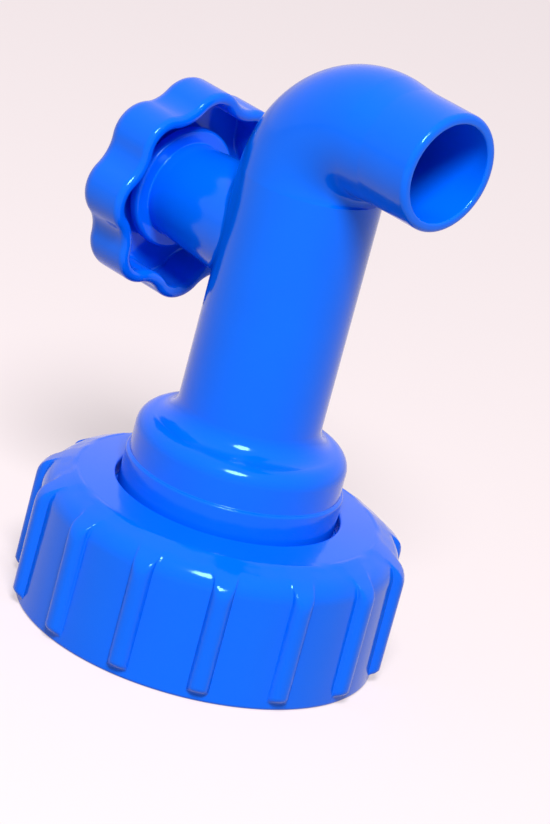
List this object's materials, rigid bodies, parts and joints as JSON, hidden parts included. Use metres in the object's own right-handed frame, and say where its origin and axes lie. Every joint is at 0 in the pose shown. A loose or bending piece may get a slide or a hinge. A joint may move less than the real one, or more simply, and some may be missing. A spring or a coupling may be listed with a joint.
{
  "type": "tank tap",
  "caption": "Swivelling dispensing tap on a ribbed screw cap, with a bent spout and a lobed quarter-turn knob.",
  "frame": {"origin": "on the stem's axis, in the plane of the screw cap's open rim", "axes": "+Z along the stem, away from the container's neck; +X towards the spout; -X towards the knob"},
  "size_m": [0.0705, 0.0698, 0.1126],
  "materials": {
    "blue_plastic": "glossy moulded polypropylene",
    "plug_plastic": "natural acetal, satin",
    "gasket_rubber": "pale elastomer sheet, matt",
    "seal_rubber": "black nitrile, satin",
    "steel": "stainless steel, bright"
  },
  "bodies": {
    "cap": {"screw_cap": "blue_plastic"},
    "tap": {"tap_body": "blue_plastic", "neck_gasket": "gasket_rubber", "thrust_washer": "plug_plastic", "retaining_ring": "steel"},
    "rotor": {"valve_plug": "plug_plastic", "inner_seal": "seal_rubber", "outer_seal": "seal_rubber", "knob": "blue_plastic", "knob_screw": "steel"}
  },
  "joints": [
    {"name": "body_swivel", "type": "hinge", "parent": "cap", "child": "tap", "pos_m": [0, 0, 0.0232], "axis": [0, 0, 1], "continuous": true},
    {"name": "knob_turn", "type": "hinge", "parent": "tap", "child": "rotor", "pos_m": [0, 0, 0.0738], "axis": [-1, 0, 0], "range_deg": [0, 90]}
  ]
}
